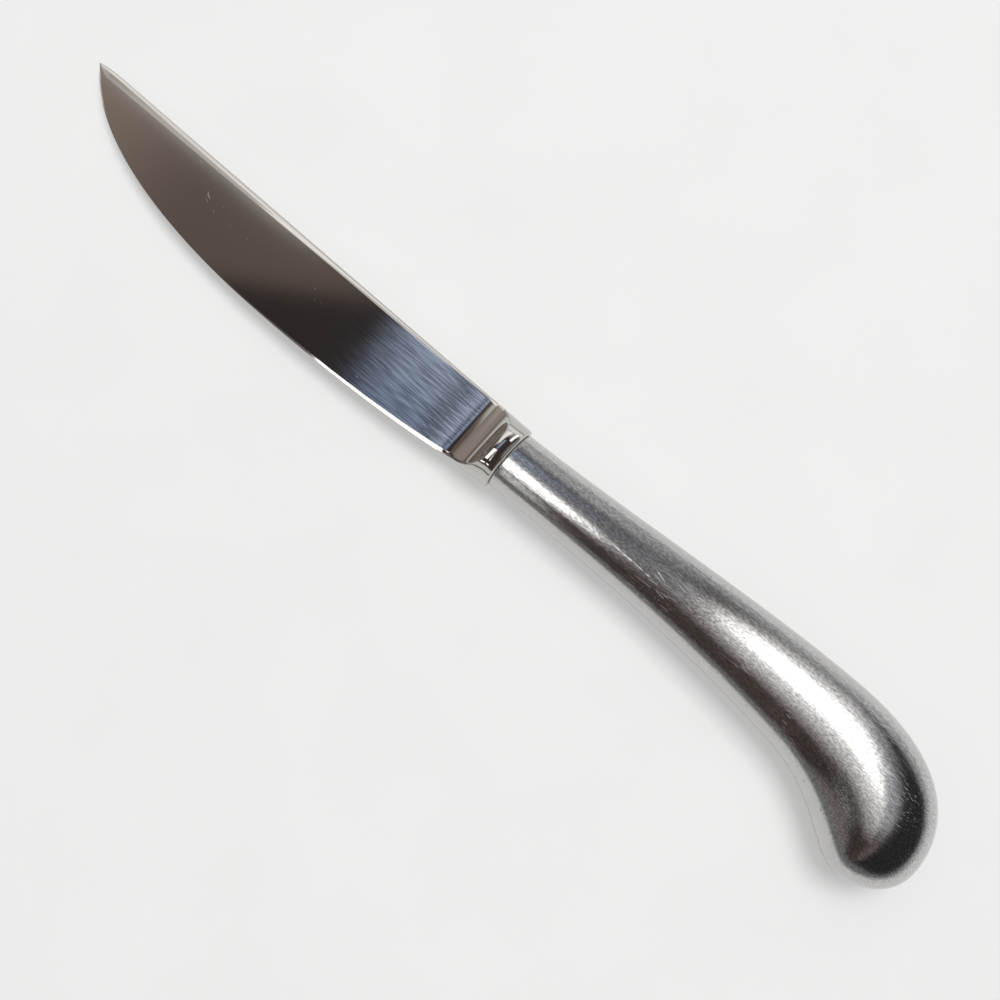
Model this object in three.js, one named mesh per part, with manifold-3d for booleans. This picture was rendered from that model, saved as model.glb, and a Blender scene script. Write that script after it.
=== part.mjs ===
// Steak knife with a forged blade and a hollow pistol-grip handle, lying on its side, millimetres, +Z up.
// Datum while modelling: X = 0 at the joint of bolster and handle, the tip towards -X, the butt towards +X,
// Y = 0 on the tang axis with the spine towards +Y, Z = 0 on the plane that halves the knife.
import * as THREE from 'three';
import { mergeVertices } from 'three/addons/utils/BufferGeometryUtils.js';
import Module from 'manifold-3d';

// Blade
const BLADE_LENGTH = 124.1;
const SPINE_HEIGHT = 7.3;
const TIP_DROP = 1;
const TIP_NOSE = 0.45;
const TIP_ROUNDING = 5;
const TIP_SWEEP_RUN = 12.4;
const TIP_SWEEP_FALL = 15.1;
const BELLY_REACH = 62.3;
const BELLY_DEPTH = 11.3;
const BELLY_SWEEP_FORE = 17;
const BELLY_SWEEP_AFT = 12;
const HEEL_REACH = 9.2;
const HEEL_DEPTH = 7.8;
const HEEL_SWEEP_RUN = 17.8;
const HEEL_SWEEP_FALL = 2.9;
const SPINE_THICKNESS_HEEL = 2.3;
const SPINE_THICKNESS_TIP = 1;
const BELLY_THICKNESS = 0.4;
const EDGE_THICKNESS = 0.08;
const BEVEL_SLOPE = 0.65;
const SPINE_ROUND_TIP = 2.2;
const SPINE_ROUND_HEEL = 0.8;

// Bolster, spigot and tang
const COVE_REACH = 11;
const COVE_RADIUS = 8;
const COVE_TURN = 1.3;
const COVE_BLEND = 2.5;
const CREASE_SOFTNESS = 0.35;
const COLLAR_CREST = 2.2;
const COLLAR_CROWN_RADIUS = 8;
const COLLAR_DEPTH = 7.3;
const COLLAR_THICKNESS = 13;
const RIM_RADIUS = 0.5;
const SPIGOT_LENGTH = 4;
const SPIGOT_ROOT = 2;
const TANG_LENGTH = 46;
const TANG_ROOT_WIDTH = 7.4;
const TANG_END_WIDTH = 4.6;
const TANG_THICKNESS = 3;
const NOTCH_RADIUS = 0.9;
const NOTCH_PITCH = 10;
const NOTCH_COUNT = 3;

// Hollow grip: its back, its belly, its thickness and its wall
const GRIP_LENGTH = 111;
const BUTT_DROP = 9;
const MOUTH_HEIGHT = 6.45;
const MOUTH_DEPTH = 6.45;
const MOUTH_THICKNESS = 12;
const NECK_BACK_RUN = 27;
const NECK_BACK_RISE = 1.25;
const CREST_SETBACK = 29;
const CREST_HEIGHT = 12.1;
const CREST_SWEEP_FORE = 24.5;
const CREST_SWEEP_AFT = 16.7;
const BUTT_SWEEP_BACK = 14.9;
const NECK_BELLY_RUN = 30;
const NECK_BELLY_RISE = 0.9;
const PALM_SETBACK = 36;
const PALM_DEPTH = 8.15;
const PALM_SLOPE = 0.123;
const PALM_SWEEP_FORE = 24;
const PALM_SWEEP_AFT = 14;
const BULB_SETBACK = 11;
const BULB_DEPTH = 18.8;
const BULB_SWEEP_FORE = 5.8;
const BULB_SWEEP_AFT = 5.7;
const BUTT_SWEEP_BELLY = 5.6;
const BULB_THICKNESS = 18;
const THICKEST_SETBACK = 20;
const WALL = 0.85;
const LIP_RADIUS = 0.4;
const SEAM_THICKNESS = 0.2;

// Clearances, and how far a cutting body runs out of the mouth
const SPIGOT_CLEARANCE = 0.3;
const CORE_CLEARANCE = 0.3;
const TANG_CLEARANCE = 0.3;
const MOUTH_RUNOUT = 2;

// Fineness of the curved faces
const EDGE_STEPS_FORE = 17;
const EDGE_STEPS_AFT = 12;
const FACE_STEPS = 10;
const ROUND_STEPS = 5;
const BEVEL_STEPS = 4;
const COVE_STEPS = 12;
const COLLAR_STEPS = 6;
const RIM_STEPS = 3;
const GRIP_STATIONS = 32;
const GRIP_SIDES = 36;
const NOTCH_SIDES = 20;

const wasm = await Module();
wasm.setup();

const mix = THREE.MathUtils.lerp;
const ease = THREE.MathUtils.smoothstep;
const flat = (x, y) => new THREE.Vector2(x, y);

// Closed skin over rings of points; every ring runs from +Y over +Z, and a point closes each end.
function loft(rings, startPoint, endPoint) {
  const sides = rings[0].length;
  const points = [startPoint, ...rings.flat(), endPoint];
  const index = [];
  const at = (ring, side) => 1 + ring * sides + (side % sides);
  for (let side = 0; side < sides; side++) {
    index.push(0, at(0, side + 1), at(0, side));
    index.push(points.length - 1, at(rings.length - 1, side), at(rings.length - 1, side + 1));
    for (let ring = 0; ring + 1 < rings.length; ring++) {
      index.push(at(ring, side), at(ring, side + 1), at(ring + 1, side));
      index.push(at(ring, side + 1), at(ring + 1, side + 1), at(ring + 1, side));
    }
  }
  const geometry = new THREE.BufferGeometry().setFromPoints(points);
  geometry.setIndex(index);
  return geometry;
}

function solid(geometry) {
  const bare = new THREE.BufferGeometry();
  bare.setAttribute('position', geometry.getAttribute('position'));
  bare.setIndex(geometry.getIndex());
  const merged = mergeVertices(bare);
  return new wasm.Manifold(new wasm.Mesh({
    numProp: 3,
    vertProperties: Float32Array.from(merged.getAttribute('position').array),
    triVerts: Uint32Array.from(merged.getIndex().array),
  }));
}

function middle(ring) {
  const sum = ring.reduce((total, point) => total.add(point), new THREE.Vector3());
  return sum.divideScalar(ring.length);
}

function block(xFrom, xTo, zFrom, zTo) {
  const side = 2 * (BLADE_LENGTH + GRIP_LENGTH);
  const box = new THREE.BoxGeometry(xTo - xFrom, side, zTo - zFrom);
  return solid(box.translate((xFrom + xTo) / 2, 0, (zFrom + zTo) / 2));
}

// Blade faces are true planes: thinner towards the tip and towards the edge.
const alongTaper = (SPINE_THICKNESS_HEEL - SPINE_THICKNESS_TIP) / 2 / BLADE_LENGTH;
const bellyDrop = SPINE_THICKNESS_HEEL / 2 - alongTaper * BELLY_REACH - BELLY_THICKNESS / 2;
const acrossTaper = bellyDrop / (SPINE_HEIGHT + BELLY_DEPTH);
const faceZ = (x, y) => SPINE_THICKNESS_HEEL / 2 + alongTaper * x - acrossTaper * (SPINE_HEIGHT - y);

const edgeFore = new THREE.CubicBezierCurve(
  flat(-BLADE_LENGTH, SPINE_HEIGHT - TIP_DROP),
  flat(TIP_SWEEP_RUN - BLADE_LENGTH, SPINE_HEIGHT - TIP_DROP - TIP_SWEEP_FALL),
  flat(-BELLY_REACH - BELLY_SWEEP_FORE, -BELLY_DEPTH),
  flat(-BELLY_REACH, -BELLY_DEPTH),
);
const edgeAft = new THREE.CubicBezierCurve(
  flat(-BELLY_REACH, -BELLY_DEPTH),
  flat(-BELLY_REACH + BELLY_SWEEP_AFT, -BELLY_DEPTH),
  flat(-HEEL_REACH - HEEL_SWEEP_RUN, -HEEL_DEPTH - HEEL_SWEEP_FALL),
  flat(-HEEL_REACH, -HEEL_DEPTH),
);

// The bolster: a cove ground across the faces, which starts on a straight plunge line, and behind it an oval
// collar with a slight crown.
const coveStart = -COVE_REACH;

function coveRise(x) {
  const run = Math.max(0, x - coveStart);
  const turn = Math.min(COVE_TURN, Math.asin(Math.min(1, run / COVE_RADIUS)));
  return COVE_RADIUS * (1 - Math.cos(turn)) + (run - COVE_RADIUS * Math.sin(turn)) * Math.tan(turn);
}

function collarHalf(x) {
  const off = Math.max(-COLLAR_CREST, x + COLLAR_CREST);
  return COLLAR_THICKNESS / 2 - off ** 2 / (2 * COLLAR_CROWN_RADIUS) - rimInset(x);
}

function softMin(a, b) {
  return Math.max(0, (a + b - Math.hypot(a - b, CREASE_SOFTNESS)) / 2);
}

function rimInset(x) {
  const into = Math.max(0, x + RIM_RADIUS);
  return RIM_RADIUS - Math.sqrt(RIM_RADIUS ** 2 - into ** 2);
}

function spineY(x) {
  const toNose = Math.max(0, 1 - (x + BLADE_LENGTH) / TIP_ROUNDING);
  return SPINE_HEIGHT - (TIP_DROP - TIP_NOSE) * toNose ** 2 - rimInset(x);
}

function bolsterY(x) {
  const run = Math.min(1, (x + HEEL_REACH) / (HEEL_REACH - COLLAR_CREST));
  return -mix(HEEL_DEPTH, COLLAR_DEPTH, run ** 3) + rimInset(x);
}

// One section of the forging: half of it from the spine over +Z to the edge, then its mirror image.
function forgingRing(x, edgeY) {
  const topY = spineY(x);
  const tall = topY - edgeY;
  const round = Math.min(mix(SPINE_ROUND_HEEL, SPINE_ROUND_TIP, -x / BLADE_LENGTH), tall / 2);
  const bevel = Math.min((faceZ(x, edgeY) - EDGE_THICKNESS / 2) / (BEVEL_SLOPE - acrossTaper), tall / 4);
  const merge = ease(x, coveStart, coveStart + COVE_BLEND);
  const half = [];
  const add = (y, bladeZ) => {
    const across = (2 * (y - edgeY)) / tall - 1;
    const oval = collarHalf(x) * Math.sqrt(Math.max(0, 1 - across ** 2));
    const raised = faceZ(x, y) + coveRise(x);
    half.push(new THREE.Vector3(x, y, mix((bladeZ * raised) / faceZ(x, y), softMin(raised, oval), merge)));
  };
  for (let step = 0; step < ROUND_STEPS; step++) {
    const turn = (Math.PI / 2) * (step / ROUND_STEPS);
    const y = topY - round * (1 - Math.cos(turn));
    add(y, faceZ(x, y) * Math.sin(turn));
  }
  for (let step = 0; step < FACE_STEPS; step++) {
    const share = (1 - Math.cos((Math.PI * step) / FACE_STEPS)) / 2;
    const y = mix(topY - round, edgeY + bevel, share);
    add(y, faceZ(x, y));
  }
  for (let step = BEVEL_STEPS; step > 0; step--) {
    const inward = bevel * (step / BEVEL_STEPS) ** 2;
    add(edgeY + inward, mix(EDGE_THICKNESS / 2, faceZ(x, edgeY + bevel), inward / bevel));
  }
  half.push(new THREE.Vector3(x, edgeY, EDGE_THICKNESS / 2));
  const mirror = half.slice(1).reverse().map((point) => new THREE.Vector3(point.x, point.y, -point.z));
  return [...half, ...mirror];
}

function forging() {
  const edge = [...edgeFore.getPoints(EDGE_STEPS_FORE), ...edgeAft.getPoints(EDGE_STEPS_AFT).slice(1)];
  const stations = [];
  for (let step = 1; step <= COVE_STEPS; step++) {
    stations.push(coveStart + COVE_RADIUS * Math.sin((COVE_TURN * step) / COVE_STEPS));
  }
  const coveEnd = stations[COVE_STEPS - 1];
  for (let step = 1; step < COLLAR_STEPS; step++) {
    stations.push(mix(coveEnd, -RIM_RADIUS, step / COLLAR_STEPS));
  }
  for (let step = 0; step <= RIM_STEPS; step++) {
    stations.push(-RIM_RADIUS * (1 - Math.sin((Math.PI / 2) * (step / RIM_STEPS))));
  }
  const rings = edge.map((point) => forgingRing(point.x, point.y));
  stations.filter((x) => x > -HEEL_REACH).forEach((x) => rings.push(forgingRing(x, bolsterY(x))));
  return loft(rings, middle(rings[0]), middle(rings[rings.length - 1]));
}

// Tapered tang with round notches along both sides, grown by the same amount all round.
function tang(grow) {
  const root = TANG_ROOT_WIDTH / 2 + grow;
  const end = TANG_END_WIDTH / 2 + grow;
  const depth = TANG_THICKNESS + 2 * grow;
  const outline = new THREE.Shape([
    flat(0, -root),
    flat(TANG_LENGTH + grow, -end),
    flat(TANG_LENGTH + grow, end),
    flat(0, root),
  ]);
  const bar = new THREE.ExtrudeGeometry(outline, { depth, bevelEnabled: false });
  let body = solid(bar.translate(0, 0, -depth / 2));
  for (let count = 1; count <= NOTCH_COUNT; count++) {
    const x = TANG_LENGTH - count * NOTCH_PITCH;
    const y = mix(TANG_ROOT_WIDTH, TANG_END_WIDTH, x / TANG_LENGTH) / 2;
    const radius = NOTCH_RADIUS - grow;
    for (const side of [-y, y]) {
      const notch = new THREE.CylinderGeometry(radius, radius, 2 * depth, NOTCH_SIDES);
      body = body.subtract(solid(notch.rotateX(Math.PI / 2).translate(x, side, 0)));
    }
  }
  return body;
}

// Back and belly of the grip, both from the mouth to the middle of the butt.
const crestX = GRIP_LENGTH - CREST_SETBACK;
const palmX = GRIP_LENGTH - PALM_SETBACK;
const bulbX = GRIP_LENGTH - BULB_SETBACK;
const back = new THREE.CurvePath();
back.add(new THREE.CubicBezierCurve(
  flat(0, MOUTH_HEIGHT),
  flat(NECK_BACK_RUN, MOUTH_HEIGHT + NECK_BACK_RISE),
  flat(crestX - CREST_SWEEP_FORE, CREST_HEIGHT),
  flat(crestX, CREST_HEIGHT),
));
back.add(new THREE.CubicBezierCurve(
  flat(crestX, CREST_HEIGHT),
  flat(crestX + CREST_SWEEP_AFT, CREST_HEIGHT),
  flat(GRIP_LENGTH, BUTT_SWEEP_BACK - BUTT_DROP),
  flat(GRIP_LENGTH, -BUTT_DROP),
));
const belly = new THREE.CurvePath();
belly.add(new THREE.CubicBezierCurve(
  flat(0, -MOUTH_DEPTH),
  flat(NECK_BELLY_RUN, NECK_BELLY_RISE - MOUTH_DEPTH),
  flat(palmX - PALM_SWEEP_FORE, PALM_SWEEP_FORE * PALM_SLOPE - PALM_DEPTH),
  flat(palmX, -PALM_DEPTH),
));
belly.add(new THREE.CubicBezierCurve(
  flat(palmX, -PALM_DEPTH),
  flat(palmX + PALM_SWEEP_AFT, -PALM_SWEEP_AFT * PALM_SLOPE - PALM_DEPTH),
  flat(bulbX - BULB_SWEEP_FORE, -BULB_DEPTH),
  flat(bulbX, -BULB_DEPTH),
));
belly.add(new THREE.CubicBezierCurve(
  flat(bulbX, -BULB_DEPTH),
  flat(bulbX + BULB_SWEEP_AFT, -BULB_DEPTH),
  flat(GRIP_LENGTH, -BUTT_DROP - BUTT_SWEEP_BELLY),
  flat(GRIP_LENGTH, -BUTT_DROP),
));

// Rib of the grip at a share of its length: its middle and its half height, set in by a wall.
function rib(share, inset) {
  const backTangent = back.getTangent(share);
  const bellyTangent = belly.getTangent(share);
  const top = back.getPoint(share).add(flat(backTangent.y, -backTangent.x).multiplyScalar(inset));
  const bottom = belly.getPoint(share).add(flat(-bellyTangent.y, bellyTangent.x).multiplyScalar(inset));
  return {
    middle: top.clone().add(bottom).divideScalar(2),
    half: top.clone().sub(bottom).divideScalar(2),
  };
}

const mouthHalf = rib(0, 0).half.length();
const thickestShare = 1 - THICKEST_SETBACK / GRIP_LENGTH;
const bulbHalf = rib(thickestShare, 0).half.length();

function gripRing(share, inset, shift) {
  const { middle: centre, half } = rib(share, inset);
  const mouthRatio = (MOUTH_THICKNESS / 2 - inset) / (mouthHalf - inset);
  const bulbRatio = (BULB_THICKNESS / 2 - inset) / (bulbHalf - inset);
  const thick = half.length() * mix(mouthRatio, bulbRatio, ease(share, 0, thickestShare));
  const ring = [];
  for (let side = 0; side < GRIP_SIDES; side++) {
    const turn = (2 * Math.PI * side) / GRIP_SIDES;
    const along = Math.cos(turn);
    ring.push(new THREE.Vector3(
      centre.x + half.x * along + shift,
      centre.y + half.y * along,
      thick * Math.sin(turn),
    ));
  }
  return ring;
}

// Body of the grip inside its outer face by the inset; the front rings make the lip or run out of the mouth.
function gripBody(inset, front) {
  const rings = [...front];
  for (let station = 1; station < GRIP_STATIONS; station++) {
    rings.push(gripRing(Math.sin((Math.PI / 2) * (station / GRIP_STATIONS)), inset, 0));
  }
  const butt = new THREE.Vector3(GRIP_LENGTH - inset, -BUTT_DROP, 0);
  return solid(loft(rings, middle(rings[0]), butt));
}

function lipRings() {
  const rings = [gripRing(0, LIP_RADIUS, -MOUTH_RUNOUT)];
  for (let step = 0; step <= RIM_STEPS; step++) {
    const turn = (Math.PI / 2) * (step / RIM_STEPS);
    rings.push(gripRing(0, LIP_RADIUS * (1 - Math.sin(turn)), LIP_RADIUS * (1 - Math.cos(turn))));
  }
  return rings;
}

const outer = gripBody(0, lipRings());
const hollow = gripBody(WALL, [gripRing(0, WALL, -MOUTH_RUNOUT), gripRing(0, WALL, 0)]);
const shell = outer.subtract(hollow);
const reach = 2 * GRIP_LENGTH;
const seam = SEAM_THICKNESS / 2;

const spigotInset = WALL + SPIGOT_CLEARANCE;
const spigotRings = [gripRing(0, spigotInset, -SPIGOT_ROOT), gripRing(0, spigotInset, SPIGOT_LENGTH)];
const spigot = solid(loft(spigotRings, middle(spigotRings[0]), middle(spigotRings[1])));

const coreInset = WALL + CORE_CLEARANCE;
const coreBody = gripBody(coreInset, [gripRing(0, coreInset, 0)]);
const coreFront = SPIGOT_LENGTH + CORE_CLEARANCE;
const core = coreBody.intersect(block(coreFront, reach, -reach, reach)).subtract(tang(TANG_CLEARANCE));

const bladeSteel = new THREE.MeshStandardMaterial({ color: 0x8f8a86, roughness: 0.22, metalness: 1 });
const handleSteel = new THREE.MeshStandardMaterial({ color: 0xa2a2a0, roughness: 0.34, metalness: 1 });
const brazeMetal = new THREE.MeshStandardMaterial({ color: 0xb9b39c, roughness: 0.4, metalness: 1 });
const cement = new THREE.MeshStandardMaterial({ color: 0x8a8378, roughness: 0.95, metalness: 0 });

const knife = new THREE.Group();

function piece(name, body, material) {
  const cut = body.getMesh();
  const points = Float32Array.from(cut.vertProperties);
  const geometry = new THREE.BufferGeometry();
  geometry.setAttribute('position', new THREE.BufferAttribute(points, cut.numProp));
  geometry.setIndex(Array.from(cut.triVerts));
  geometry.computeVertexNormals();
  const mesh = new THREE.Mesh(geometry, material);
  mesh.name = name;
  knife.add(mesh);
}

piece('blade', solid(forging()).add(spigot).add(tang(0)), bladeSteel);
piece('handle_shell_left', shell.intersect(block(0, reach, seam, reach)), handleSteel);
piece('handle_shell_right', shell.intersect(block(0, reach, -reach, -seam)), handleSteel);
piece('seam_braze', shell.intersect(block(0, reach, -seam, seam)), brazeMetal);
piece('cement_core', core, cement);

// The knife lies on z = 0 with the middle of its outline over the origin.
const box = new THREE.Box3().setFromObject(knife);
const centre = box.getCenter(new THREE.Vector3());
knife.children.forEach((mesh) => mesh.geometry.translate(-centre.x, -centre.y, -box.min.z));

export default knife;
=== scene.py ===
"""Steak knife with a polished forged blade and a worn satin pistol-grip handle, lying on a pale table."""
from bisect import bisect_right
from itertools import accumulate
from math import asin, cos, hypot, pi, radians, sin, sqrt, tan

import bmesh
import bpy
from mathutils import Matrix, Vector
from mathutils.geometry import interpolate_bezier


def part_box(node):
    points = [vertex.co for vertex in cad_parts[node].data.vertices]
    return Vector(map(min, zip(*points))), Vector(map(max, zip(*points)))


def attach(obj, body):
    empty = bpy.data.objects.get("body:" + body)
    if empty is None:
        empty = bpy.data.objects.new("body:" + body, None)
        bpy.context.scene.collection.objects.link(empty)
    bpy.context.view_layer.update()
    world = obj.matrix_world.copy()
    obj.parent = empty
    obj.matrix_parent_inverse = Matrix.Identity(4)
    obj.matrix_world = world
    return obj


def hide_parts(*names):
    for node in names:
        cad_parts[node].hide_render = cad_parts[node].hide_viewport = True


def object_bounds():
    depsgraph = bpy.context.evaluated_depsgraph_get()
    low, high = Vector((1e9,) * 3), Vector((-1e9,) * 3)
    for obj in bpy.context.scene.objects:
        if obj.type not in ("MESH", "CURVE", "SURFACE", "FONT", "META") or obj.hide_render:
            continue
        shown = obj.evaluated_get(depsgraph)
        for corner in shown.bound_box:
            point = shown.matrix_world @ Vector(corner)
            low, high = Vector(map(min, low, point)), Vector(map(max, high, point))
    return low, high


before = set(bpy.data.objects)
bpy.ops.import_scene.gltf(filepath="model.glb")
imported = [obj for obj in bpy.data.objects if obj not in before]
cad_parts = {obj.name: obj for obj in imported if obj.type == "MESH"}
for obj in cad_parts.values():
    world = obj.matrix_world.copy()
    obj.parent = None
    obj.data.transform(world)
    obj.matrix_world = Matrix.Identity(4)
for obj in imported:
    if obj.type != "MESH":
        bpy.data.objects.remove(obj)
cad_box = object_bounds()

# Blade, metres; heights and depths are measured from the tang axis
SPINE_HEIGHT = 0.0073
TIP_DROP = 0.001
TIP_NOSE = 0.00045
TIP_ROUNDING = 0.005
TIP_SWEEP_RUN = 0.0124
TIP_SWEEP_FALL = 0.0151
BELLY_REACH = 0.0623
BELLY_DEPTH = 0.0113
BELLY_SWEEP_FORE = 0.017
BELLY_SWEEP_AFT = 0.012
HEEL_REACH = 0.0092
HEEL_DEPTH = 0.0078
HEEL_SWEEP_RUN = 0.0178
HEEL_SWEEP_FALL = 0.0029
SPINE_HALF_HEEL = 0.00115
SPINE_HALF_TIP = 0.0005
BELLY_HALF = 0.0002
EDGE_HALF = 0.00004
BEVEL_SLOPE = 0.65
SPINE_ROUND_TIP = 0.0022
SPINE_ROUND_HEEL = 0.0008

# Bolster, spigot and tang
COVE_REACH = 0.011
COVE_RADIUS = 0.008
COVE_TURN = 1.3
COVE_BLEND = 0.0025
CREASE_SOFTNESS = 0.00035
COLLAR_CREST = 0.0022
COLLAR_CROWN_RADIUS = 0.008
COLLAR_DEPTH = 0.0073
COLLAR_HALF = 0.0065
RIM_RADIUS = 0.0005
SPIGOT_LENGTH = 0.004
SPIGOT_CLEARANCE = 0.0003
TANG_LENGTH = 0.046
TANG_ROOT_HALF = 0.0037
TANG_END_HALF = 0.0023
TANG_HALF = 0.0015
NOTCH_RADIUS = 0.0009
NOTCH_PITCH = 0.01
NOTCH_COUNT = 3

# Hollow grip
BUTT_DROP = 0.009
MOUTH_HEIGHT = 0.00645
MOUTH_HALF = 0.006
NECK_BACK_RUN = 0.027
NECK_BACK_RISE = 0.00125
CREST_SETBACK = 0.029
CREST_HEIGHT = 0.0121
CREST_SWEEP_FORE = 0.0245
CREST_SWEEP_AFT = 0.0167
BUTT_SWEEP_BACK = 0.0149
NECK_BELLY_RUN = 0.03
NECK_BELLY_RISE = 0.0009
PALM_SETBACK = 0.036
PALM_DEPTH = 0.00815
PALM_SLOPE = 0.123
PALM_SWEEP_FORE = 0.024
PALM_SWEEP_AFT = 0.014
BULB_SETBACK = 0.011
BULB_DEPTH = 0.0188
BULB_SWEEP_FORE = 0.0058
BULB_SWEEP_AFT = 0.0057
BUTT_SWEEP_BELLY = 0.0056
BULB_HALF = 0.009
THICKEST_SETBACK = 0.02
WALL = 0.00085
LIP_RADIUS = 0.0004
SEAM_HALF = 0.0001
SEAM_DIP = 0.00001

# Finish of the blade: how its ground face ends at the cove and at the other surfaces, how the lines fade in ahead of
# the cove, and its grains. A grain is its pitch along, across and up, its detail, the noise levels where it sets in,
# and its turn in degrees where it runs at an angle to the knife.
FACE_END_FADE = (0.0002, 0.0004)
FACE_SKIN = (0.00001, 0.00004)
HEEL_FADE = (0.036, 0.022)
BLADE_BRUSHING = ((0.008, 0.00015, 0.00015), 2)
BLADE_DASHES = ((0.005, 0.0002, 0.0002), 0, (0.3, 0.7))
BLADE_WEAR = ((0.009, 0.006, 0.006), 1, (0.52, 0.66))
BLADE_NICKS = ((0.0016, 0.0003, 0.0003), 0, (0.77, 0.84), 35)
BLADE_RELIEF = 0.000004
BLADE_NICK_DEPTH = 0.5
BLADE_DARK = (0.38, 0.365, 0.35)
BLADE_BRIGHT = (0.74, 0.715, 0.69)
BLADE_ROUGHNESS = 0.06
HEEL_POLISH = 0.02
MARK_ROUGHNESS = 0.25

# Finish of the handle
HANDLE_CLOUD = ((0.012, 0.004, 0.004), 2)
HANDLE_BRUSHING = ((0.004, 0.0001, 0.0001), 2)
HANDLE_DASHES = ((0.0008, 0.00024, 0.00024), 1, (0.24, 0.76), -2)
HANDLE_WEAR = ((0.014, 0.008, 0.008), 1, (0.45, 0.65))
HANDLE_SCRATCHES = ((0.012, 0.0002, 0.0002), 0, (0.71, 0.77), -4)
HANDLE_CROSS_SCRATCHES = ((0.005, 0.0002, 0.0002), 0, (0.72, 0.78), 12)
HANDLE_PITS = ((0.001, 0.0007, 0.0007), 1, (0.72, 0.76))
HANDLE_SIDE_FADE = (0.002, 0.006)
HANDLE_RELIEF = 0.000008
HANDLE_DARK = (0.36, 0.357, 0.354)
HANDLE_BRIGHT = (0.74, 0.733, 0.726)
HANDLE_ROUGHNESS = 0.12
HANDLE_ROUGHNESS_SPREAD = 0.08
PIT_TONE = (0.2, 0.2, 0.2)
PIT_SHARE = 0.6
MARK_TONE = (0.78, 0.78, 0.78)

# Long scratch on the handle's upper side: its span with a soft border, its rise over the tang axis and its slope;
# and the scuffed place on the bulb
SCRATCH_SPAN = (0.0265, 0.0375, 0.0015)
SCRATCH_RISE = 0.00026
SCRATCH_SLOPE = -0.0132
SCRATCH_HALF = 0.00012
SCUFF_PLACE = Vector((0.0985, -0.001, 0.0087))
SCUFF_REACH = 0.008

# Finish of the brazing metal and of the cement
BRAZE_TONE = (0.6, 0.57, 0.5)
BRAZE_STREAKS = ((0.004, 0.0002, 0.0002), 3)
BRAZE_ROUGHNESS = 0.25
BRAZE_ROUGHNESS_SPREAD = 0.15
CEMENT_SAND = ((0.0008, 0.0008, 0.0008), 4)
CEMENT_TONES = [(0.3, (0.33, 0.31, 0.28)), (0.7, (0.5, 0.48, 0.44))]
CEMENT_RELIEF = 0.0001
CEMENT_RELIEF_SHARE = 0.6
CEMENT_ROUGHNESS = 0.95

# Fineness of the meshes
EDGE_STEPS_FORE = 60
EDGE_STEPS_AFT = 50
COVE_STEPS = 80
COLLAR_STEPS = 36
RIM_STEPS = 6
TANG_STEPS = 100
ROUND_STEPS = 10
FACE_STEPS = 90
BEVEL_STEPS = 8
GRIP_STATIONS = 150
GRIP_SIDES = 60
LIP_STEPS = 6
CURVE_STEPS = 400
MERGE = 1e-7
SHARP = radians(20)

# The knife's own datum: the joint of bolster and handle, on the tang axis, on the plane that halves the knife
joint_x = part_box("handle_shell_left")[0].x
butt_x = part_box("handle_shell_left")[1].x
tip_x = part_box("blade")[0].x
spine_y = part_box("blade")[1].y
DATUM = Vector((joint_x, spine_y - SPINE_HEIGHT, (cad_box[0][2] + cad_box[1][2]) / 2))
BLADE_LENGTH = joint_x - tip_x
GRIP_LENGTH = butt_x - joint_x

# Photograph's view: the camera over the knife's mid-plane, tilted back, with the knife lying across the frame
CAMERA_ALONG = 0.02785
CAMERA_ACROSS = -0.03409
CAMERA_HEIGHT = 0.215385
CAMERA_TILT = radians(9.4)
KNIFE_TURN = radians(-41.665)
FOCAL_PIXELS = 1080
FRAME_PIXELS = 1000
SENSOR = 36

# Table: its reach from the middle, its tones, how white it is, the share of it that no shadow reaches, the share of
# the grip's length at which the bulb rests on it, and the colour behind it
TABLE_REACH = 3
TABLE_CLOUD = ((0.03, 0.03, 0.03), 3)
TABLE_TONES = [(0.3, (0.8, 0.8, 0.795)), (0.7, (0.83, 0.83, 0.825))]
TABLE_ROUGHNESS = 0.6
TABLE_WHITE = (0.87, 0.87, 0.865)
TABLE_GLOW = 0.4
BULB_REST_SHARE = 0.88
BACKGROUND = (0.86, 0.86, 0.855)

# Light: a soft key and a wide fill for the table
KEY_SIZE = 0.8
KEY_POWER = 18.5
KEY_PLACE = (0.05, 0.48, 1.6)
FILL_SIZE = 5
FILL_POWER = 34.5
FILL_PLACE = (0, 0, 2)

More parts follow.
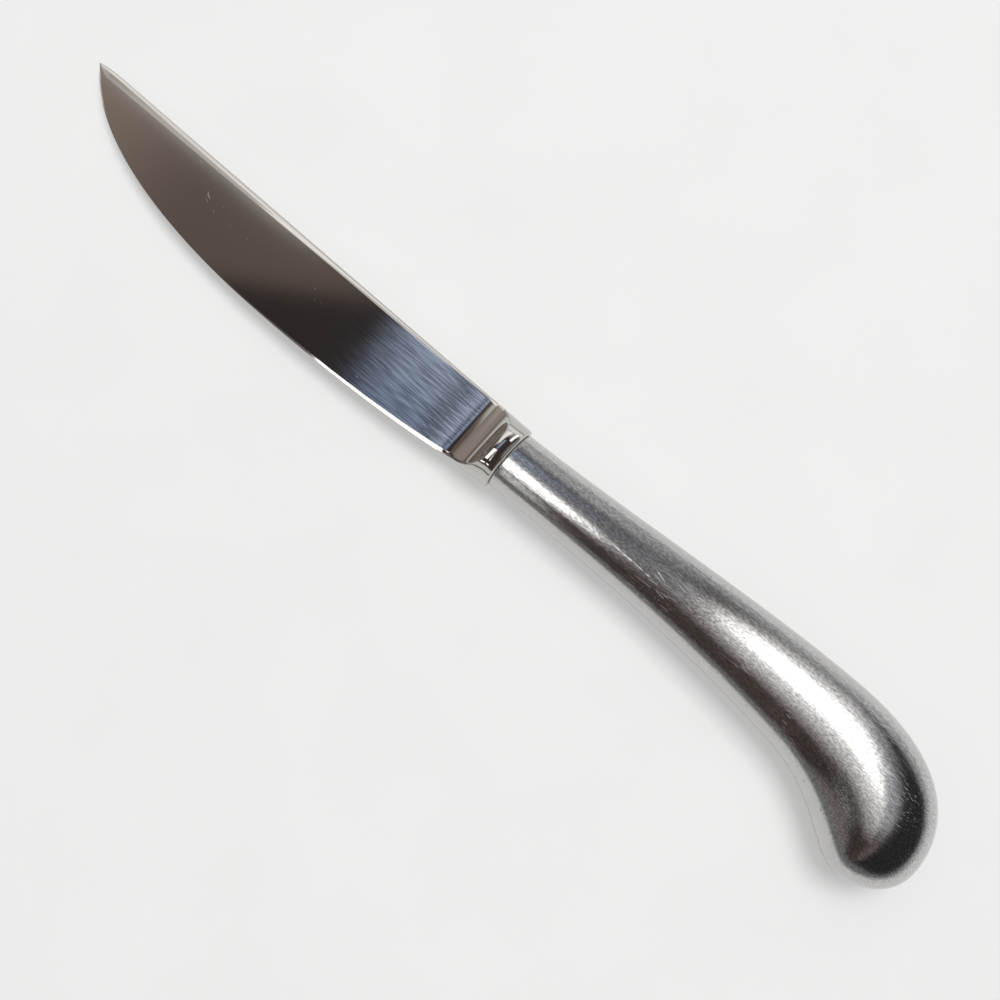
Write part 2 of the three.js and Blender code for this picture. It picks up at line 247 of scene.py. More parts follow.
# Level panels that only the blade or only the handle mirrors: two corners and the height over the knife's datum,
# radiance and tint
HIGH = 0.25
LOW = 0.08
WHITE_TINT = (1, 0.99, 0.97)
COOL_TINT = (0.8, 0.9, 1)
BLADE = ("forged_blade",)
HANDLE = ("upper_half_shell", "lower_half_shell", "seam_strip")
PANELS = {
    BLADE: [
        ("edge_strip", (-0.186, -0.45), (-0.03, -0.39), HIGH, 2.5, WHITE_TINT),
        ("spine_wall_far", (-0.5, 0.14), (-0.2, 0.5), HIGH, 0.6, WHITE_TINT),
        ("spine_wall_near", (-0.2, 0.06), (-0.09, 0.5), HIGH, 0.7, WHITE_TINT),
        ("collar_lamp_low", (-0.115, -0.25), (-0.036, -0.03), HIGH, 1.8, WHITE_TINT),
        ("collar_lamp_high", (-0.015, 0.19), (0.016, 0.7), HIGH, 2.5, WHITE_TINT),
    ],
    HANDLE: [
        ("lip_lamp", (-0.17, -0.26), (-0.11, -0.026), HIGH, 2.2, WHITE_TINT),
        ("neck_lamp_tail", (-0.17, -0.026), (0.01, 0.025), HIGH, 0.4, WHITE_TINT),
        ("neck_lamp_near", (-0.11, -0.125), (0.012, -0.026), HIGH, 2.4, WHITE_TINT),
        ("neck_lamp_mid", (-0.11, -0.195), (-0.005, -0.125), HIGH, 2.2, WHITE_TINT),
        ("neck_lamp_far", (-0.02, -0.2), (0.002, -0.075), LOW, 0.8, WHITE_TINT),
        ("ceiling", (-0.06, -0.03), (0.062, 0.42), HIGH, 0.145, COOL_TINT),
        ("window_1", (0.066, -0.14), (0.146, -0.09), HIGH, 0.22, WHITE_TINT),
        ("window_2", (0.066, -0.09), (0.146, -0.05), HIGH, 0.48, WHITE_TINT),
        ("window_3", (0.066, -0.05), (0.146, -0.01), HIGH, 0.8, WHITE_TINT),
        ("window_4", (0.07, -0.01), (0.143, 0.03), HIGH, 1.1, WHITE_TINT),
        ("window_5", (0.073, 0.03), (0.14, 0.12), HIGH, 2.6, WHITE_TINT),
        ("window_6", (0.08, 0.12), (0.148, 0.195), HIGH, 2.6, WHITE_TINT),
        ("window_7", (0.088, 0.195), (0.16, 0.28), HIGH, 1.1, WHITE_TINT),
        ("window_8", (0.1, 0.28), (0.175, 0.42), HIGH, 0.55, WHITE_TINT),
    ],
}

# Sheets of light that show when the knife is seen from low down: middle, facing, size, radiance and the pieces lit
WALLS = [
    ("wall_over_butt", (1.5, 0, 0.85), (-1, 0, 0), (4.4, 1.3), 0.55, BLADE),
    ("wall_over_spine", (0, 1.5, 0.41), (0, -1, 0), (3, 0.46), 0.55, BLADE),
    ("wall_over_edge", (0, -1.5, 0.41), (0, 1, 0), (3, 0.46), 0.55, BLADE),
    ("ramp_over_butt", (0.223, 0, 0.1205), (-0.643, 0, 0.766), (0.8, 0.3), 0.5, HANDLE),
]

# Glow along the horizon: where it fades with height, how much lower it is over the butt, where it fades towards the
# tip's heading, and its tones on the edge's and the spine's sides
HORIZON_TOP = (0.24, 0.36)
HORIZON_BUTT = (0.3, 0.9, 0, 0.17)
HORIZON_TIP = (-0.93, -0.8)
HORIZON_TURN = (-0.5, 0)
HORIZON_EDGE_SIDE = (0.22, 0.22, 0.22)
HORIZON_SPINE_SIDE = (0.48, 0.48, 0.48)

# The room that the metal mirrors, in degrees of lean along and across the knife: patches laid one over another, each
# with its start, end and soft border both ways, and its colour. One patch slants: its lean along changes with the
# lean across.
ROOM_TONE = (0.065, 0.048, 0.044)
SLANTED_PATCH = "brown_wall"
SLANT = 1.35
ALL = (-300, 300, 1)
ROOM = [
    ("dark_gap", (-300, -8, 3), ALL, (0.043, 0.036, 0.036)),
    ("brown_wall", (-300, -28.2, 1.3), (-300, 9, 3), (0.165, 0.13, 0.111)),
    ("lit_wall", (-300, -32, 4), (1.5, 300, 2), (0.33, 0.265, 0.225)),
    ("cool_wall_low", (-16.4, -9.3, 1.7), (-12, 30, 6), (0.24, 0.31, 0.46)),
    ("cool_wall_high", (-16.4, -9.3, 1.7), (4.6, 30, 1.3), (0.37, 0.45, 0.6)),
    ("cool_gap", (-12.4, -11.75, 0.12), (-12, 30, 6), (0.03, 0.035, 0.045)),
    ("cool_strip", (-11.75, -9.8, 0.15), (-12, 30, 6), (0.47, 0.56, 0.75)),
    ("far_wall_low", (-300, -42, 5), (4, 300, 3), (0.38, 0.34, 0.305)),
    ("far_wall_mid", (-60, -36, 5), (11.5, 300, 3), (0.52, 0.475, 0.43)),
    ("far_wall_high", (-60, -40, 5), (24, 300, 8), (0.8, 0.75, 0.7)),
    ("far_corner", (-300, -77, 3), ALL, (0.22, 0.18, 0.15)),
    ("low_left", (-300, -22, 6), (-80, -32, 10), (0.2, 0.18, 0.17)),
    ("grey_side", (12, 26, 6), (-14, 50, 14), (0.42, 0.42, 0.45)),
    ("red_side", (14, 34, 6), (-60, -20, 10), (0.18, 0.14, 0.14)),
    ("black_end", (31, 300, 9), ALL, (0.03, 0.03, 0.033)),
    ("back_wall", (-300, 16, 4), (60, 300, 12), (0.24, 0.24, 0.24)),
    ("back_wall_left", (-300, -3, 6), (50, 300, 14), (0.48, 0.48, 0.48)),
    ("back_corner", (15, 30, 5), (50, 300, 7), (0.5, 0.5, 0.5)),
    ("back_rim", (24, 300, 6), (77, 300, 6), (0.42, 0.42, 0.42)),
    ("glow_over_spine", (-36, -23.5, 2.5), (6.8, 300, 0.7), (0.7, 0.68, 0.66)),
    ("front_wall", (-300, 35, 15), (-300, -80, 10), (0.6, 0.6, 0.6)),
]


def mix(low, high, share):
    return low + (high - low) * share


def ease(value, low, high):
    share = min(1, max(0, (value - low) / (high - low)))
    return share * share * (3 - 2 * share)


def flat(x, y):
    return Vector((x, y))


class Contour:
    """Cubic curves end to end in the knife's plane, read by their share of the whole length."""

    def __init__(self, *cubics):
        self.points = [cubics[0][0]]
        for start, leave, arrive, end in cubics:
            self.points += interpolate_bezier(start, leave, arrive, end, CURVE_STEPS)[1:]
        steps = [(b - a).length for a, b in zip(self.points, self.points[1:])]
        self.lengths = [0, *accumulate(steps)]

    def at(self, share):
        """The point at a share of the length, and the unit tangent there."""
        length = share * self.lengths[-1]
        index = min(bisect_right(self.lengths, length), len(self.points) - 1)
        before, after = self.points[index - 1], self.points[index]
        local = (length - self.lengths[index - 1]) / (self.lengths[index] - self.lengths[index - 1])
        return before.lerp(after, local), (after - before).normalized()


def swept(name, stations, sides, place, material, node):
    """A closed ring of sides swept through stations; place(station, side) puts each point on the knife."""
    bm = bmesh.new()
    bmesh.ops.create_grid(bm, x_segments=stations, y_segments=sides, size=0.5)
    for vert in bm.verts:
        station = round((vert.co.x + 0.5) * stations)
        side = round((vert.co.y + 0.5) * sides) % sides
        vert.co = DATUM + place(station, side)
    bmesh.ops.remove_doubles(bm, verts=bm.verts, dist=MERGE)
    bmesh.ops.dissolve_degenerate(bm, edges=bm.edges, dist=MERGE)
    bmesh.ops.holes_fill(bm, edges=[edge for edge in bm.edges if edge.is_boundary])
    bmesh.ops.recalc_face_normals(bm, faces=bm.faces)
    for face in bm.faces:
        face.smooth = True
    for edge in bm.edges:
        edge.smooth = edge.calc_face_angle(0) < SHARP
    mesh = bpy.data.meshes.new(name)
    bm.to_mesh(mesh)
    bm.free()
    mesh.materials.append(material)
    piece = bpy.data.objects.new(name, mesh)
    bpy.context.scene.collection.objects.link(piece)
    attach(piece, "root")
    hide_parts(node)
    return piece


# Ground faces of the blade: planes that thin towards the tip and towards the edge
ALONG_TAPER = (SPINE_HALF_HEEL - SPINE_HALF_TIP) / BLADE_LENGTH
ACROSS_TAPER = (SPINE_HALF_HEEL - ALONG_TAPER * BELLY_REACH - BELLY_HALF) / (SPINE_HEIGHT + BELLY_DEPTH)
COVE_START = -COVE_REACH


def face_half(x, y):
    return SPINE_HALF_HEEL + ALONG_TAPER * x - ACROSS_TAPER * (SPINE_HEIGHT - y)


def cove_rise(x):
    """Height of the ground cove over the blade's face: an arc that runs on straight where it is steep."""
    run = max(0, x - COVE_START)
    turn = min(COVE_TURN, asin(min(1, run / COVE_RADIUS)))
    return COVE_RADIUS * (1 - cos(turn)) + (run - COVE_RADIUS * sin(turn)) * tan(turn)


def collar_half(x):
    off = max(-COLLAR_CREST, x + COLLAR_CREST)
    return COLLAR_HALF - off ** 2 / (2 * COLLAR_CROWN_RADIUS) - rim_inset(x)


def soft_min(a, b):
    return max(0, (a + b - hypot(a - b, CREASE_SOFTNESS)) / 2)


def rim_inset(x):
    into = min(RIM_RADIUS, max(0, x + RIM_RADIUS))
    return RIM_RADIUS - sqrt(RIM_RADIUS ** 2 - into ** 2)


def spine_at(x):
    to_nose = max(0, 1 - (x + BLADE_LENGTH) / TIP_ROUNDING)
    return SPINE_HEIGHT - (TIP_DROP - TIP_NOSE) * to_nose ** 2 - rim_inset(x)


def bolster_edge(x):
    run = min(1, (x + HEEL_REACH) / (HEEL_REACH - COLLAR_CREST))
    return -mix(HEEL_DEPTH, COLLAR_DEPTH, run ** 3) + rim_inset(x)


def forged_section(x, edge_y):
    """Half a section of the blade or bolster, from the spine over the upper face to the edge."""
    top = spine_at(x)
    tall = top - edge_y
    rounding = min(mix(SPINE_ROUND_HEEL, SPINE_ROUND_TIP, -x / BLADE_LENGTH), tall / 2)
    bevel = min((face_half(x, edge_y) - EDGE_HALF) / (BEVEL_SLOPE - ACROSS_TAPER), tall / 4)
    merge = ease(x, COVE_START, COVE_START + COVE_BLEND)
    profile = []
    for step in range(ROUND_STEPS):
        turn = pi / 2 * step / ROUND_STEPS
        y = top - rounding * (1 - cos(turn))
        profile.append((y, face_half(x, y) * sin(turn)))
    for step in range(FACE_STEPS):
        y = mix(top - rounding, edge_y + bevel, (1 - cos(pi * step / FACE_STEPS)) / 2)
        profile.append((y, face_half(x, y)))
    for step in range(BEVEL_STEPS, 0, -1):
        inward = (step / BEVEL_STEPS) ** 2
        y = edge_y + bevel * inward
        profile.append((y, mix(EDGE_HALF, face_half(x, edge_y + bevel), inward)))
    section = []
    for y, half in profile:
        across = 2 * (y - edge_y) / tall - 1
        oval = collar_half(x) * sqrt(max(0, 1 - across ** 2))
        raised = face_half(x, y) + cove_rise(x)
        section.append(Vector((x, y, mix(half * raised / face_half(x, y), soft_min(raised, oval), merge))))
    section.append(Vector((x, edge_y, EDGE_HALF)))
    return section


HALF_SIDES = ROUND_STEPS + FACE_STEPS + BEVEL_STEPS


def spigot_section(x, half_y, half_z, square):
    """Half an oval or square section of what sits inside the handle, with as many points as the blade's."""
    section = []
    for step in range(HALF_SIDES + 1):
        turn = pi * step / HALF_SIDES
        y, z = cos(turn), sin(turn)
        if square:
            stretch = min(half_y / max(abs(y), MERGE), half_z / max(abs(z), MERGE))
            section.append(Vector((x, y * stretch, z * stretch)))
        else:
            section.append(Vector((x, y * half_y, z * half_z)))
    return section


def tang_half(x):
    half = mix(TANG_ROOT_HALF, TANG_END_HALF, x / TANG_LENGTH)
    for count in range(1, NOTCH_COUNT + 1):
        notch = TANG_LENGTH - count * NOTCH_PITCH
        half -= sqrt(max(0, NOTCH_RADIUS ** 2 - (x - notch) ** 2))
    return half


def forging_sections():
    """Half sections of the whole forging, from the tip to the end of the tang."""
    tip = flat(-BLADE_LENGTH, SPINE_HEIGHT - TIP_DROP)
    belly = flat(-BELLY_REACH, -BELLY_DEPTH)
    heel = flat(-HEEL_REACH, -HEEL_DEPTH)
    fore = interpolate_bezier(
        tip, tip + flat(TIP_SWEEP_RUN, -TIP_SWEEP_FALL), belly - flat(BELLY_SWEEP_FORE, 0), belly,
        EDGE_STEPS_FORE)
    aft = interpolate_bezier(
        belly, belly + flat(BELLY_SWEEP_AFT, 0), heel - flat(HEEL_SWEEP_RUN, HEEL_SWEEP_FALL), heel,
        EDGE_STEPS_AFT)
    sections = [forged_section(point.x, point.y) for point in [*fore, *aft[1:]]]
    cove = [COVE_START + COVE_RADIUS * sin(COVE_TURN * step / COVE_STEPS) for step in range(COVE_STEPS + 1)]
    collar = [mix(cove[-1], -RIM_RADIUS, step / COLLAR_STEPS) for step in range(1, COLLAR_STEPS)]
    rim = [-RIM_RADIUS * (1 - sin(pi / 2 * step / RIM_STEPS)) for step in range(RIM_STEPS + 1)]
    for x in [*cove, *collar, *rim]:
        if x > -HEEL_REACH:
            sections.append(forged_section(x, bolster_edge(x)))
    spigot = (MOUTH_HEIGHT - WALL - SPIGOT_CLEARANCE, MOUTH_HALF - WALL - SPIGOT_CLEARANCE)
    sections.append(spigot_section(0, *spigot, square=False))
    sections.append(spigot_section(SPIGOT_LENGTH, *spigot, square=False))
    for step in range(TANG_STEPS + 1):
        x = mix(SPIGOT_LENGTH, TANG_LENGTH, step / TANG_STEPS)
        sections.append(spigot_section(x, tang_half(x), TANG_HALF, square=True))
    return sections


def blade(material):
    sections = forging_sections()

    def place(station, side):
        if side <= HALF_SIDES:
            return sections[station][side]
        point = sections[station][2 * HALF_SIDES - side]
        return Vector((point.x, point.y, -point.z))

    return swept("forged_blade", len(sections) - 1, 2 * HALF_SIDES, place, material, "blade")


# Outline of the grip: back and belly, both from the mouth to the middle of the butt
crest = flat(GRIP_LENGTH - CREST_SETBACK, CREST_HEIGHT)
palm = flat(GRIP_LENGTH - PALM_SETBACK, -PALM_DEPTH)
bulb = flat(GRIP_LENGTH - BULB_SETBACK, -BULB_DEPTH)
butt = flat(GRIP_LENGTH, -BUTT_DROP)
back_mouth = flat(0, MOUTH_HEIGHT)
belly_mouth = flat(0, -MOUTH_HEIGHT)
GRIP_BACK = Contour(
    (back_mouth, back_mouth + flat(NECK_BACK_RUN, NECK_BACK_RISE), crest - flat(CREST_SWEEP_FORE, 0), crest),
    (crest, crest + flat(CREST_SWEEP_AFT, 0), butt + flat(0, BUTT_SWEEP_BACK), butt),
)
GRIP_BELLY = Contour(
    (
        belly_mouth,
        belly_mouth + flat(NECK_BELLY_RUN, NECK_BELLY_RISE),
        palm - flat(PALM_SWEEP_FORE, -PALM_SWEEP_FORE * PALM_SLOPE),
        palm,
    ),
    (palm, palm + flat(PALM_SWEEP_AFT, -PALM_SWEEP_AFT * PALM_SLOPE), bulb - flat(BULB_SWEEP_FORE, 0), bulb),
    (bulb, bulb + flat(BULB_SWEEP_AFT, 0), butt - flat(0, BUTT_SWEEP_BELLY), butt),
)


def rim_points(share, inset):
    """Where the outline's back and belly lie at a share of their lengths, set in by a wall."""
    top, along_back = GRIP_BACK.at(share)
    bottom, along_belly = GRIP_BELLY.at(share)
    top = top + inset * flat(along_back.y, -along_back.x)
    bottom = bottom + inset * flat(-along_belly.y, along_belly.x)
    return top, bottom


def half_height(share):
    top, bottom = rim_points(share, 0)
    return (top - bottom).length / 2


MOUTH_RIB = half_height(0)
THICKEST_SHARE = 1 - THICKEST_SETBACK / GRIP_LENGTH
BULB_RIB = half_height(THICKEST_SHARE)


def grip_point(share, inset, shift, turn):
    """A point of the grip's skin, set in by a wall, turned from the back over the upper side to the belly."""
    top, bottom = rim_points(share, inset)
    centre, half = (top + bottom) / 2, (top - bottom) / 2
    mouth_ratio = (MOUTH_HALF - inset) / (MOUTH_RIB - inset)
    bulb_ratio = (BULB_HALF - inset) / (BULB_RIB - inset)
    thick = half.length * mix(mouth_ratio, bulb_ratio, ease(share, 0, THICKEST_SHARE))
    place = centre + half * cos(turn)
    return Vector((place.x + shift, place.y, SEAM_HALF + max(0, thick - SEAM_HALF) * sin(turn)))


def grip_stations():
    """Share of the length, inset of the outer skin and shift of each ring, from the rounded lip to the butt."""
    stations = []
    for step in range(LIP_STEPS + 1):
        turn = pi / 2 * step / LIP_STEPS
        stations.append((0, LIP_RADIUS * (1 - sin(turn)), LIP_RADIUS * (1 - cos(turn))))
    for step in range(1, GRIP_STATIONS + 1):
        stations.append((sin(pi / 2 * step / GRIP_STATIONS), 0, 0))
    return stations


def half_shell(name, side_sign, material, node):
    """Pressed half of the hollow handle, with its wall, on one side of the seam."""
    stations = grip_stations()

    def place(station, side):
        share, inset, shift = stations[station]
        if side > GRIP_SIDES:
            inset = WALL
            side = 2 * GRIP_SIDES + 1 - side
        point = grip_point(share, inset, shift, pi * side / GRIP_SIDES)
        return Vector((point.x, point.y, side_sign * point.z))

    return swept(name, len(stations) - 1, 2 * GRIP_SIDES + 2, place, material, node)


def seam_strip(material):
    """Brazing metal between the half shells, ground flush all round the outline."""
    corners = [(SEAM_DIP, SEAM_HALF), (SEAM_DIP, -SEAM_HALF), (WALL, -SEAM_HALF), (WALL, SEAM_HALF)]

    def place(station, side):
        inset, z = corners[side]
        along = station - GRIP_STATIONS
        share = sin(pi / 2 * (1 - abs(along) / GRIP_STATIONS))
        point = rim_points(share, inset)[0 if along <= 0 else 1]
        return Vector((point.x, point.y, z))

    return swept("seam_strip", 2 * GRIP_STATIONS, len(corners), place, material, "seam_braze")


class Wire:
    """A node's socket that takes part in Python sums; a sum of wires adds Math nodes to their tree."""

    def __init__(self, tree, socket=None):
        self.tree = tree
        self.socket = socket

    def node(self, kind, settings=(), sockets=(), out=0):
        """A new node of that kind, with its settings made first and then its sockets filled or linked."""
        made = self.tree.nodes.new("ShaderNode" + kind)
        for name, value in dict(settings).items():
            if name == "stops":
                made.color_ramp.elements.remove(made.color_ramp.elements[1])
                for position, colour in value:
                    made.color_ramp.elements.new(position).color = (*colour, 1)
                made.color_ramp.elements.remove(made.color_ramp.elements[0])
            else:
                setattr(made, name, value)
        for name, value in dict(sockets).items():
            if isinstance(value, Wire):
                self.tree.links.new(value.socket, made.inputs[name])
            else:
                made.inputs[name].default_value = value
        return Wire(self.tree, made.outputs[out] if made.outputs else None)

    def math(self, operation, *values):
        return self.node("Math", {"operation": operation}, enumerate(values))

    def __add__(self, other):
        return self.math("ADD", self, other)

    def __radd__(self, other):
        return self.math("ADD", other, self)

    def __sub__(self, other):
        return self.math("SUBTRACT", self, other)

    def __rsub__(self, other):
        return self.math("SUBTRACT", other, self)

    def __mul__(self, other):
        return self.math("MULTIPLY", self, other)

    def __rmul__(self, other):
        return self.math("MULTIPLY", other, self)

    def ramp(self, low, high, start=0, end=1):
        """Smooth step from start to end as the wire goes from low to high."""
        limits = {"Value": self, "From Min": low, "From Max": high, "To Min": start, "To Max": end}
        return self.node("MapRange", {"interpolation_type": "SMOOTHSTEP"}, limits)

    def band(self, low, high, soft):
        """One between low and high, falling to nought over a soft border."""
        return self.ramp(low - soft, low + soft) * self.ramp(high - soft, high + soft, 1, 0)

    def tint(self, share, colour):
        """This colour mixed with another by a share."""
        other = colour if isinstance(colour, Wire) else (*colour, 1)
        return self.node("Mix", {"data_type": "RGBA"}, {0: share, 6: self, 7: other}, out=2)

    def axes(self):
        parts = self.node("SeparateXYZ", sockets={0: self}).socket.node
        return [Wire(self.tree, output) for output in parts.outputs]


def fresh_material(name):
    material = bpy.data.materials.new(name)
    material.use_nodes = True
    material.node_tree.nodes.clear()
    return material, Wire(material.node_tree)


def finish_surface(tools, sockets):
    shader = tools.node("BsdfPrincipled", sockets=sockets)
    tools.node("OutputMaterial", sockets={"Surface": shader})


def grain(tools, place, pitch, detail, levels=None, turn=0):
    """Streaks or specks: noise with its own pitch along each axis, turned about the upright by some degrees."""
    if turn:
        place = tools.node("VectorRotate", {"rotation_type": "Z_AXIS"}, {"Vector": place, "Angle": radians(turn)})
    scaled = tools.node("VectorMath", {"operation": "DIVIDE"}, {0: place, 1: pitch})
    noise = tools.node("TexNoise", sockets={"Vector": scaled, "Scale": 1, "Detail": detail})
    return noise.ramp(*levels) if levels else noise


def plain_colour(tools, colour):
    wire = tools.node("RGB")
    wire.socket.default_value = (*colour, 1)
    return wire


def relief(tools, height, distance, strength=1):
    return tools.node("Bump", sockets={"Strength": strength, "Distance": distance, "Height": height})


def blade_finish():
    """Polished steel, ground lengthwise near the heel and mirror-bright on the bolster and the bevel."""
    material, tools = fresh_material("blade_steel")
    place = tools.node("TexCoord", out="Object")
    x, y, z = place.axes()
    face_end = joint_x + COVE_START
    plane = face_half(-joint_x, -DATUM.y) + ALONG_TAPER * x + ACROSS_TAPER * y
    below = plane - tools.math("ABSOLUTE", z - DATUM.z)
    blade_face = x.ramp(face_end - FACE_END_FADE[0], face_end + FACE_END_FADE[1], 1, 0)
    blade_face = blade_face * below.ramp(*FACE_SKIN, 1, 0)
    heel = x.ramp(face_end - HEEL_FADE[0], face_end - HEEL_FADE[1]) * blade_face
    brushing = grain(tools, place, *BLADE_BRUSHING)
    dashes = grain(tools, place, *BLADE_DASHES)
    nicks = grain(tools, place, *BLADE_NICKS) * (grain(tools, place, *BLADE_WEAR) * blade_face)
    steel = plain_colour(tools, BLADE_DARK)
    finish_surface(tools, {
        "Base Color": steel.tint(0.5 + heel * (dashes - 0.5), BLADE_BRIGHT),
        "Metallic": 1,
        "Roughness": BLADE_ROUGHNESS - HEEL_POLISH * heel + MARK_ROUGHNESS * nicks,
        "Normal": relief(tools, heel * brushing - BLADE_NICK_DEPTH * nicks, BLADE_RELIEF),
    })
    return material


def handle_finish():
    """Satin steel brushed lengthwise and worn by use, with scratches and pits."""
    material, tools = fresh_material("handle_steel")
    place = tools.node("TexCoord", out="Object")
    x, y, z = place.axes()
    cloud = grain(tools, place, *HANDLE_CLOUD)
    brushing = grain(tools, place, *HANDLE_BRUSHING)
    side = tools.math("ABSOLUTE", z - DATUM.z).ramp(*HANDLE_SIDE_FADE)
    dashes = grain(tools, place, *HANDLE_DASHES)
    to_scuff = tools.node("VectorMath", {"operation": "DISTANCE"}, {0: place, 1: DATUM + SCUFF_PLACE}, out="Value")
    worn = grain(tools, place, *HANDLE_WEAR) + to_scuff.ramp(SCUFF_REACH / 2, SCUFF_REACH, 1, 0)
    scratches = grain(tools, place, *HANDLE_SCRATCHES) + grain(tools, place, *HANDLE_CROSS_SCRATCHES)
    slip = y - DATUM.y - SCRATCH_RISE - SCRATCH_SLOPE * (x - joint_x)
    long_scratch = slip.band(-SCRATCH_HALF, SCRATCH_HALF, SCRATCH_HALF) * (x - joint_x).band(*SCRATCH_SPAN)
    marks = scratches * worn + long_scratch * z.ramp(DATUM.z, DATUM.z + MOUTH_HALF) * dashes
    pits = grain(tools, place, *HANDLE_PITS)
    steel = plain_colour(tools, HANDLE_DARK).tint(0.5 + side * (dashes - 0.5), HANDLE_BRIGHT)
    finish_surface(tools, {
        "Base Color": steel.tint(PIT_SHARE * pits, PIT_TONE).tint(marks, MARK_TONE),
        "Metallic": 1,
        "Roughness": HANDLE_ROUGHNESS + HANDLE_ROUGHNESS_SPREAD * cloud + MARK_ROUGHNESS * marks,
        "Normal": relief(tools, brushing, HANDLE_RELIEF),
    })
    return material


def braze_finish():
    """Brazing metal polished down with the handle, a little warmer than the steel."""
    material, tools = fresh_material("braze_metal")
    place = tools.node("TexCoord", out="Object")
    streaks = grain(tools, place, *BRAZE_STREAKS)
    finish_surface(tools, {
        "Base Color": (*BRAZE_TONE, 1),
        "Metallic": 1,
        "Roughness": BRAZE_ROUGHNESS + BRAZE_ROUGHNESS_SPREAD * streaks,
    })
    return material


def cement_finish():
    """Cast filler inside the handle: matt, sandy and uneven."""
    material, tools = fresh_material("cement")
    place = tools.node("TexCoord", out="Object")
    sand = grain(tools, place, *CEMENT_SAND)
    finish_surface(tools, {
        "Base Color": tools.node("ValToRGB", {"stops": CEMENT_TONES}, {0: sand}),
        "Roughness": CEMENT_ROUGHNESS,
        "Normal": relief(tools, sand, CEMENT_RELIEF, CEMENT_RELIEF_SHARE),
    })
    return material


def table():
    """Pale table under the knife, tilted so that the bulb and the collar both rest on it."""
    bulb_x = joint_x + GRIP_LENGTH * BULB_REST_SHARE
    collar_x = joint_x - COLLAR_CREST
    fall = (BULB_HALF - COLLAR_HALF) / (bulb_x - collar_x)
    bm = bmesh.new()
    bmesh.ops.create_grid(bm, x_segments=1, y_segments=1, size=TABLE_REACH)
    for vert in bm.verts:
        vert.co.z = (bulb_x - vert.co.x) * fall
    mesh = bpy.data.meshes.new("table")
    bm.to_mesh(mesh)
    bm.free()
    material, tools = fresh_material("table_top")
    place = tools.node("TexCoord", out="Object")
    colour = tools.node("ValToRGB", {"stops": TABLE_TONES}, {0: grain(tools, place, *TABLE_CLOUD)})
    matt = tools.node("BsdfPrincipled", sockets={"Base Color": colour, "Roughness": TABLE_ROUGHNESS})
    glow = tools.node("Emission", sockets={"Color": (*TABLE_WHITE, 1), "Strength": 1})
    path = tools.node("LightPath").socket.node.outputs
    seen = sum(Wire(tools.tree, path[kind]) for kind in ("Is Camera Ray", "Is Glossy Ray", "Is Transmission Ray"))
    shown = tools.node("MixShader", sockets={0: TABLE_GLOW * seen, 1: matt, 2: glow})
    tools.node("OutputMaterial", sockets={"Surface": shown})
    mesh.materials.append(material)
    top = bpy.data.objects.new("table", mesh)
    bpy.context.scene.collection.objects.link(top)


def room():
    """Dim room of soft patches for the metal to mirror, with a glow along its horizon and a pale backdrop."""
    world = bpy.data.worlds.new("room")
    bpy.context.scene.world = world
    world.use_nodes = True
    world.node_tree.nodes.clear()
    tools = Wire(world.node_tree)
    x, y, z = tools.node("TexCoord", out="Generated").axes()
    along = tools.math("ARCTAN2", x, z) * (180 / pi)
    across = tools.math("ARCTAN2", y, z) * (180 / pi)
    slanted = along - SLANT * across
    light = plain_colour(tools, ROOM_TONE)
    for name, lengthwise, crosswise, colour in ROOM:
        lean = slanted if name == SLANTED_PATCH else along
        light = light.tint(lean.band(*lengthwise) * across.band(*crosswise), colour)
    horizon = plain_colour(tools, HORIZON_EDGE_SIDE).tint(y.ramp(*HORIZON_TURN), HORIZON_SPINE_SIDE)
    low_down = (z + x.ramp(*HORIZON_BUTT)).ramp(*HORIZON_TOP, 1, 0)
    light = light.tint(low_down * x.ramp(*HORIZON_TIP), horizon)
    light = light.tint(tools.node("LightPath", out="Is Camera Ray"), BACKGROUND)
    sky = tools.node("Background", sockets={"Color": light, "Strength": 1})
    tools.node("OutputWorld", sockets={"Surface": sky})


def soft_box(name, size, power, place):
    """Square lamp over the table, which the metal doesn't mirror."""
    lamp = bpy.data.lights.new(name, "AREA")
    lamp.shape = "SQUARE"
    lamp.size = size
    lamp.energy = power
    box = bpy.data.objects.new(name, lamp)
    box.location = place
    box.rotation_euler = (-Vector(place)).to_track_quat("-Z", "Y").to_euler()
    box.visible_glossy = False
    bpy.context.scene.collection.objects.link(box)


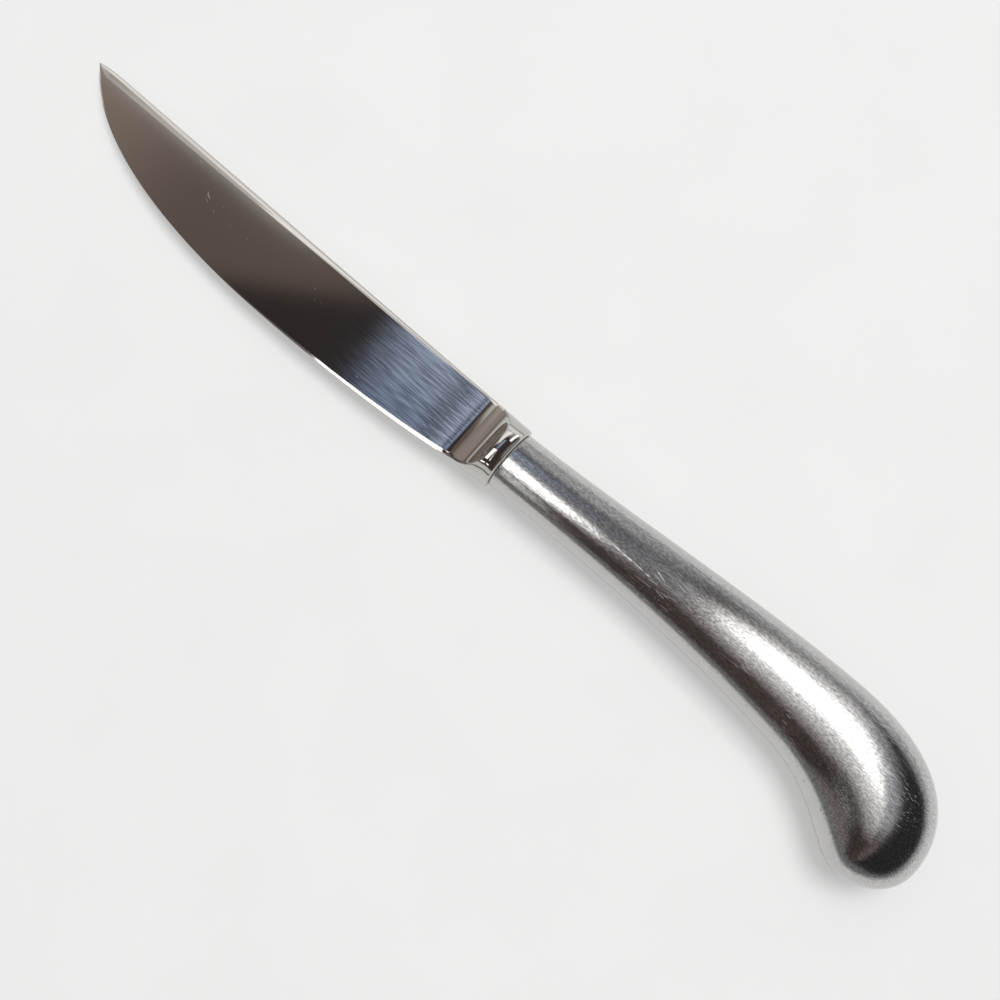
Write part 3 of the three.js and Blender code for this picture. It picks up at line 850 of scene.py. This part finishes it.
def sheet_lamp(name, size, radiance, tint, pieces):
    """Rectangular lamp that only these pieces mirror."""
    lamp = bpy.data.lights.new(name, "AREA")
    lamp.shape = "RECTANGLE"
    lamp.size, lamp.size_y = size
    lamp.energy = radiance * pi * lamp.size * lamp.size_y
    lamp.color = tint
    sheet = bpy.data.objects.new(name, lamp)
    sheet.visible_camera = False
    sheet.visible_diffuse = False
    mirrors = bpy.data.collections.new(name)
    for piece in pieces:
        mirrors.objects.link(bpy.data.objects[piece])
    sheet.light_linking.receiver_collection = mirrors
    bpy.context.scene.collection.objects.link(sheet)
    return sheet


def panel(name, low, high, height, radiance, tint, pieces):
    """Level lamp between two corners over the knife."""
    size = Vector(high) - Vector(low)
    middle = (Vector(low) + Vector(high)) / 2
    sheet = sheet_lamp(name, size, radiance, tint, pieces)
    sheet.location = DATUM + Vector((middle.x, middle.y, height))


def wall(name, middle, facing, size, radiance, pieces):
    """Lamp that stands about the table and faces the knife."""
    sheet = sheet_lamp(name, size, radiance, WHITE_TINT, pieces)
    sheet.location = middle
    sheet.rotation_euler = Vector(facing).to_track_quat("-Z", "Y").to_euler()


def photograph_camera():
    lens = bpy.data.cameras.new("camera")
    lens.sensor_width = SENSOR
    lens.lens = SENSOR * FOCAL_PIXELS / FRAME_PIXELS
    lens.clip_start = 0.01
    right = Vector((cos(KNIFE_TURN), -sin(KNIFE_TURN), 0))
    ahead = Vector((sin(KNIFE_TURN), cos(KNIFE_TURN), 0))
    up = ahead * cos(CAMERA_TILT) + Vector((0, 0, sin(CAMERA_TILT)))
    back = right.cross(up)
    stand = Matrix((right, up, back)).transposed().to_4x4()
    stand.translation = DATUM + Vector((CAMERA_ALONG, CAMERA_ACROSS, CAMERA_HEIGHT))
    camera = bpy.data.objects.new("camera", lens)
    camera.matrix_world = stand
    bpy.context.scene.collection.objects.link(camera)
    bpy.context.scene.camera = camera


photograph_camera()
blade(blade_finish())
handle_steel = handle_finish()
half_shell("upper_half_shell", 1, handle_steel, "handle_shell_left")
half_shell("lower_half_shell", -1, handle_steel, "handle_shell_right")
seam_strip(braze_finish())
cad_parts["cement_core"].data.materials.clear()
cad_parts["cement_core"].data.materials.append(cement_finish())
table()
room()
soft_box("key_light", KEY_SIZE, KEY_POWER, KEY_PLACE)
soft_box("fill_light", FILL_SIZE, FILL_POWER, FILL_PLACE)
for pieces, panels in PANELS.items():
    for settings in panels:
        panel(*settings, pieces)
for settings in WALLS:
    wall(*settings)
bpy.context.scene.view_settings.view_transform = "Standard"
